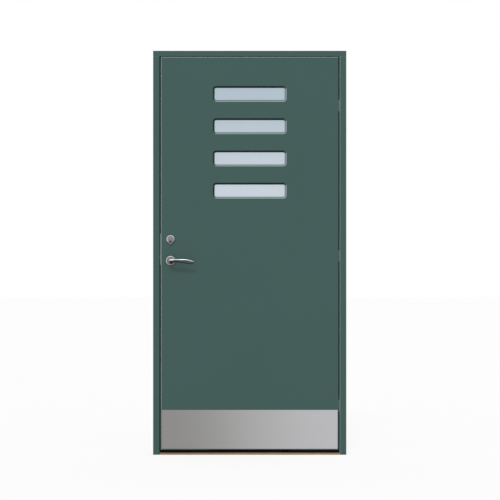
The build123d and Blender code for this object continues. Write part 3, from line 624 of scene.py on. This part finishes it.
def chrome_finish(name, stops, sideways):
    """Satin chrome with painted highlight and painted shade, whose tone follows how far a surface
    faces up and to the lock side
    """
    finish = Finish(name, Metallic=1.0)
    across, _, up = finish.facing()
    # Painted light: how far the surface faces up and to the lock side picks its tone
    light = 0.5 + 0.5 * (up - sideways * across)
    finish.feed("Base Color", finish.pen.node("ShaderNodeValToRGB", {"stops": stops}, {0: light}))
    finish.feed("Roughness", 0.28 + 0.08 * finish.noise(500, 2))
    return finish


class DOOR_OT_levers(bpy.types.Operator):
    """Give both levers their satin chrome, with a painted highlight where they face up and painted
    shade where they face out and down
    """

    bl_idname = "door.levers"
    bl_label = "Levers"

    def execute(self, context):
        chips = colours()
        stops = [(0.0, chips.chrome_dark), (0.35, chips.chrome_dark), (0.5, chips.chrome_low),
                 (0.59, chips.chrome_low), (0.72, chips.chrome_light)]
        wear(chrome_finish("satin_chrome_lever", stops, 0.35), "outside_lever", "inside_lever")
        return {"FINISHED"}


class DOOR_OT_roses(bpy.types.Operator):
    """Finish the roses, the cylinder ring, the cylinder and the thumbturn in satin chrome with
    painted highlights and painted shade
    """

    bl_idname = "door.roses"
    bl_label = "Roses and cylinder"

    def execute(self, context):
        chips = colours()
        stops = [(0.0, chips.chrome_dark), (0.12, chips.chrome_low), (0.35, chips.chrome_front),
                 (0.55, chips.chrome_front), (0.7, chips.chrome_rim)]
        wear(chrome_finish("satin_chrome", stops, 0.4), "cylinder_body", "thumbturn")
        for plate in ("outside_rose", "inside_rose", "thumbturn_rose"):
            wear(self.round_plate(plate, chips), plate)
        wear(self.round_plate("cylinder_ring", chips, "cylinder_plug"), "cylinder_ring")
        plug = Finish("worn_plug", Metallic=1.0)
        scratches = plug.noise(700, 3, (1, 1, 0.2))
        plug.feed("Base Color", scratches.mix([part * 0.8 for part in chips.plug], chips.plug))
        plug.feed("Roughness", 0.3 + 0.15 * scratches)
        wear(plug, "cylinder_plug")
        return {"FINISHED"}

    def round_plate(self, node, chips, plug=None):
        """Satin chrome with a painted highlight on its rim and round a plug, or painted shade and
        reflection of the lever under a neck
        """
        finish = Finish(f"satin_chrome_{node}", Metallic=1.0)
        low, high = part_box(node)
        middle = (low + high) / 2
        radius = (high.x - low.x) / 2
        across, rise, distance = self.round_places(finish, middle.x, high.z - radius, radius)
        # Painted highlight on the rim, paler above and to the lock side
        lit = (0.9 + 0.8 * rise - 0.4 * across).rise(0.0, 1.1)
        rim = distance.rise(0.74, 0.84)
        painted_highlight_chip = chips.chrome_light if plug else chips.chrome_rim
        if plug:
            low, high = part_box(plug)
            middle = (low + high) / 2
            radius = (high.x - low.x) / 2
            _, above, away = self.round_places(finish, middle.x, middle.z, radius)
            # Painted highlight round the plug, paler above it
            collar = away.rise(0.9, 1.05) * (1 - away.rise(1.45, 1.7))
            coat = (collar * (0.6 + 0.3 * above)).mix(chips.chrome_front, painted_highlight_chip)
        else:
            # Painted shade and reflection of the lever below the neck
            painted_shade_under_neck = (-1 * rise).rise(0.1, 0.35) * across.rise(-0.45, 0.1)
            painted_shade_under_neck = painted_shade_under_neck * (1 - distance.rise(0.62, 0.8))
            coat = painted_shade_under_neck.mix(chips.chrome_front, chips.chrome_dark)
        finish.feed("Base Color", rim.mix(coat, lit.mix(chips.chrome_front, painted_highlight_chip)))
        finish.feed("Roughness", 0.34 + 0.08 * finish.noise(500, 2))
        return finish

    def round_places(self, finish, middle, height, radius):
        """How far a point is right of a round piece's middle, above it and from it, in radii"""
        side, _, up = finish.axes()
        across = (side - middle) / radius
        rise = (up - height) / radius
        return across, rise, (across * across + rise * rise).root()


class DOOR_OT_lock(bpy.types.Operator):
    """Finish the lock case, its bolts, the forend and the strike plate"""

    bl_idname = "door.lock"
    bl_label = "Lock"

    def execute(self, context):
        chips = colours()
        plate = Finish("brushed_forend", Metallic=1.0)
        # Brushed steel, dimmed and tinted green as painted shade and a painted reflection of the
        # paint, on the forend and the strike plate
        shade = [part * 0.9 for part in chips.forend]
        brushed(plate, plate.noise(9).mix(shade, chips.forend), (900, 900, 4))
        wear(plate, "forend", "strike_plate")
        wear(zinc_finish(), "lock_case", "lock_case_cover", "spindle", "follower", "latch_bolt",
             "deadbolt", "lock_cam")
        return {"FINISHED"}


class DOOR_OT_latch_spring(bpy.types.Operator):
    """Wind the latch's spring"""

    bl_idname = "door.latch_spring"
    bl_label = "Latch spring"

    def execute(self, context):
        low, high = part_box("latch_spring")
        wire = sizes().spring_wire
        turns = sizes().spring_turns
        middle = (low + high) / 2
        start = (low.x + wire, middle.y, middle.z)
        bpy.ops.mesh.primitive_circle_add(
            vertices=WIRE_SIDES, radius=wire, location=start, rotation=(pi / 2, 0, 0)
        )
        item = context.object
        bpy.ops.object.transform_apply(location=False)
        bpy.ops.object.mode_set(mode="EDIT")
        bpy.ops.mesh.select_all(action="SELECT")
        bpy.ops.transform.translate(value=(0, 0, (high.z - low.z) / 2 - wire))
        bpy.ops.object.mode_set(mode="OBJECT")
        pitch = (high.x - low.x - 2 * wire) / turns
        fineness = {"steps": STEPS_IN_A_TURN, "render_steps": STEPS_IN_A_TURN}
        harden(item, "SCREW", axis="X", screw_offset=pitch, iterations=turns, **fineness)
        take_up("modelled_latch_spring")
        bpy.ops.mesh.select_all(action="DESELECT")
        bpy.ops.mesh.select_non_manifold()
        bpy.ops.mesh.fill_holes(sides=0)
        put_down(item, "leaf")
        wear(zinc_finish(), item)
        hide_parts("latch_spring")
        travel = next(joint["range_m"][1] for joint in JOINTS if joint["name"] == "latch_slide")
        kept = 1 - travel / (high.x - low.x)
        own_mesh(item)
        return {"FINISHED"}


def zinc_finish():
    """Plated steel with a faint spangle"""
    chips = colours()
    finish = Finish("plated_zinc", Metallic=1.0)
    sockets = {"Vector": finish.place(), "Scale": 160.0}
    spangle = finish.pen.node("ShaderNodeTexVoronoi", sockets=sockets)
    shade = [part * 0.8 for part in chips.zinc]
    finish.feed("Base Color", spangle.rise(0, 0.8).mix(chips.zinc, shade))
    finish.feed("Roughness", 0.32 + 0.12 * finish.noise(90))
    return finish


class DOOR_OT_hinges(bpy.types.Operator):
    """Finish the hidden hinges, their pins and the frame's fixing sleeves"""

    bl_idname = "door.hinges"
    bl_label = "Hinges"

    def execute(self, context):
        heights = ("top", "middle", "bottom")
        halves = [f"hinge_{half}_{height}" for half in ("bracket", "arm") for height in heights]
        wear(zinc_finish(), *halves, "hinge_pins", "frame_fixing_sleeves")
        return {"FINISHED"}


class DOOR_OT_screws(bpy.types.Operator):
    """Model a countersunk screw for each screw node and set a copy in each of its places"""

    bl_idname = "door.screws"
    bl_label = "Screws"

    def execute(self, context):
        finish = zinc_finish()
        for node, body, facing in SCREW_SETS:
            low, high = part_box(node)
            heights = sorted(vertex.co.z for vertex in NODES[node].data.vertices)
            groups = [[heights[0]]]
            for height in heights[1:]:
                if height - groups[-1][-1] > sizes().screw_head:
                    groups.append([])
                groups[-1].append(height)
            top = high.x if facing > 0 else low.x
            depth = (low.y + high.y) / 2
            places = [Vector((top, depth, (group[0] + group[-1]) / 2)) for group in groups]
            first = self.screw(f"modelled_{node}", places[0], facing, high.x - low.x)
            copies = [first]
            for place in places[1:]:
                copy = first.copy()
                copy.data = first.data.copy()
                copy.location = place - places[0]
                context.collection.objects.link(copy)
                copies.append(copy)
            bpy.ops.object.select_all(action="DESELECT")
            for copy in copies:
                copy.select_set(True)
            context.view_layer.objects.active = first
            bpy.ops.object.join()
            bpy.ops.object.transform_apply()
            put_down(first, body)
            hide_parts(node)
            wear(finish, first)
        return {"FINISHED"}

    def screw(self, name, place, facing, reach):
        """A countersunk head with a cross recess, whose top is at its place, and a pointed shank"""
        gauge = sizes()
        taper = gauge.screw_head - gauge.screw_shank
        turn = (0, facing * pi / 2, 0)
        middle = place - Vector((facing * taper / 2, 0, 0))
        bpy.ops.mesh.primitive_cylinder_add(
            vertices=SCREW_SIDES, radius=gauge.screw_head, depth=taper,
            location=middle, rotation=turn,
        )
        item = take_up(name)
        back = place.x - facing * taper
        pick(item, "faces", lambda spot: abs(spot.x - back) < TOUCH)
        shank = gauge.screw_shank / gauge.screw_head
        at_back = Vector((back, place.y, place.z))
        bpy.ops.transform.resize(value=(1, shank, shank), center_override=at_back)
        bpy.ops.mesh.extrude_region_move(
            TRANSFORM_OT_translate={"value": (-facing * (reach - taper * 2), 0, 0)}
        )
        tip = Vector((back - facing * (reach - taper * 2), place.y, place.z))
        bpy.ops.mesh.extrude_region_move(TRANSFORM_OT_translate={"value": (-facing * taper, 0, 0)})
        bpy.ops.transform.resize(value=(1, POINT, POINT), center_override=tip)
        pick(item, "faces", lambda spot: abs(spot.x - place.x) < TOUCH)
        bpy.ops.mesh.inset(thickness=gauge.screw_head - gauge.recess)

        def between_arms(spot):
            way = spot - place
            return way.length < gauge.recess and abs(abs(way.y) - abs(way.z)) < gauge.recess / 2

        pick(item, "verts", between_arms)
        narrowed = (1, BETWEEN_ARMS, BETWEEN_ARMS)
        bpy.ops.transform.resize(value=narrowed, center_override=place)
        pick(item, "faces", lambda spot: (spot - place).length < TOUCH)
        bpy.ops.mesh.extrude_region_move(
            TRANSFORM_OT_translate={"value": (-facing * gauge.recess_depth, 0, 0)}
        )
        narrowed = (1, RECESS_BOTTOM, RECESS_BOTTOM)
        bpy.ops.transform.resize(value=narrowed, center_override=place)
        bpy.ops.object.mode_set(mode="OBJECT")
        return item


class DOOR_OT_seals(bpy.types.Operator):
    """Finish the rubber seals"""

    bl_idname = "door.seals"
    bl_label = "Seals"

    def execute(self, context):
        chip = colours().gasket
        finish = Finish("rubber", Roughness=0.7, Specular_IOR_Level=0.3)
        finish.feed("Base Color", finish.noise(80).mix([part * 0.8 for part in chip], chip))
        finish.bump(finish.noise(700), 0.1, 0.0003)
        wear(finish, "frame_seal", "threshold_seal")
        return {"FINISHED"}


class DOOR_OT_stage(bpy.types.Operator):
    """Set up the pale floor, the soft light and the camera"""

    bl_idname = "door.stage"
    bl_label = "Stage"

    def execute(self, context):
        scene = context.scene
        studio = scene.door_stage
        bpy.ops.mesh.primitive_plane_add(size=studio.floor_size)
        floor = context.object
        floor.name = "floor"
        finish = Finish("floor", Roughness=1.0, Specular_IOR_Level=0.0)
        finish.shader.inputs["Base Color"].default_value = (*studio.floor_colour, 1)
        pen = finish.pen
        seen = pen.background_rays()
        white = pen.node("ShaderNodeEmission", sockets={"Color": (1, 1, 1, 1), "Strength": 1.0})
        lit = Wire(pen.tree, finish.shader.outputs[0])
        sockets = {0: seen * studio.floor_white, 1: lit, 2: white}
        both = pen.node("ShaderNodeMixShader", sockets=sockets)
        pen.tree.links.new(both.socket, pen.tree.nodes["Material Output"].inputs["Surface"])
        floor.data.materials.append(finish.material)
        world = bpy.data.worlds.new("studio")
        scene.world = world
        world.use_nodes = True
        sky = Wire(world.node_tree)
        seen = sky.background_rays()
        strength = seen + (1 - seen) * studio.sky
        backdrop = world.node_tree.nodes["Background"]
        backdrop.inputs["Color"].default_value = (1, 1, 1, 1)
        world.node_tree.links.new(strength.socket, backdrop.inputs["Strength"])
        lamp = bpy.data.lights.new("key", "SUN")
        lamp.energy = studio.key
        lamp.angle = studio.key_width
        key = bpy.data.objects.new("key", lamp)
        key.rotation_euler = KEY_PLACE.to_track_quat("Z", "Y").to_euler()
        scene.collection.objects.link(key)
        camera = bpy.data.cameras.new("camera")
        camera.sensor_width = studio.sensor_width
        camera.lens = camera.sensor_width * studio.camera_distance / studio.picture_width
        camera.clip_end = studio.sight
        eye = bpy.data.objects.new("camera", camera)
        back = FRAME_LOW.y - studio.camera_distance
        eye.location = (studio.camera_shift, back, studio.camera_height)
        eye.rotation_euler = (pi / 2, 0, 0)
        scene.collection.objects.link(eye)
        scene.camera = eye
        scene.view_settings.view_transform = "Standard"
        return {"FINISHED"}


STEPS = (
    DOOR_OT_paintwork,
    DOOR_OT_threshold,
    DOOR_OT_leaf_inside,
    DOOR_OT_glazing,
    DOOR_OT_gaskets,
    DOOR_OT_kick_plate,
    DOOR_OT_levers,
    DOOR_OT_roses,
    DOOR_OT_lock,
    DOOR_OT_latch_spring,
    DOOR_OT_hinges,
    DOOR_OT_screws,
    DOOR_OT_seals,
    DOOR_OT_stage,
)


class DOOR_PT_panel(bpy.types.Panel):
    """The door's sizes and colours, and a button for each group of pieces"""

    bl_label = "Front door"
    bl_idname = "DOOR_PT_panel"
    bl_space_type = "VIEW_3D"
    bl_region_type = "UI"
    bl_category = "Door"

    def draw(self, context):
        scene = context.scene
        for title, group in (
            ("Colours", scene.door_colours),
            ("Sizes", scene.door_sizes),
            ("Studio", scene.door_stage),
        ):
            box = self.layout.box()
            box.label(text=title)
            for name in group.__annotations__:
                box.prop(group, name)
        for step in STEPS:
            self.layout.operator(step.bl_idname)


CLASSES = (DoorColours, DoorSizes, StageSettings, *STEPS, DOOR_PT_panel)


def register():
    for item in CLASSES:
        bpy.utils.register_class(item)
    bpy.types.Scene.door_colours = PointerProperty(type=DoorColours)
    bpy.types.Scene.door_sizes = PointerProperty(type=DoorSizes)
    bpy.types.Scene.door_stage = PointerProperty(type=StageSettings)


def unregister():
    del bpy.types.Scene.door_stage
    del bpy.types.Scene.door_sizes
    del bpy.types.Scene.door_colours
    for item in reversed(CLASSES):
        bpy.utils.unregister_class(item)


def main():
    register()
    bpy.ops.object.select_all(action="DESELECT")
    for step in STEPS:
        family, action = step.bl_idname.split(".")
        getattr(getattr(bpy.ops, family), action)()


if __name__ == "__main__":
    main()
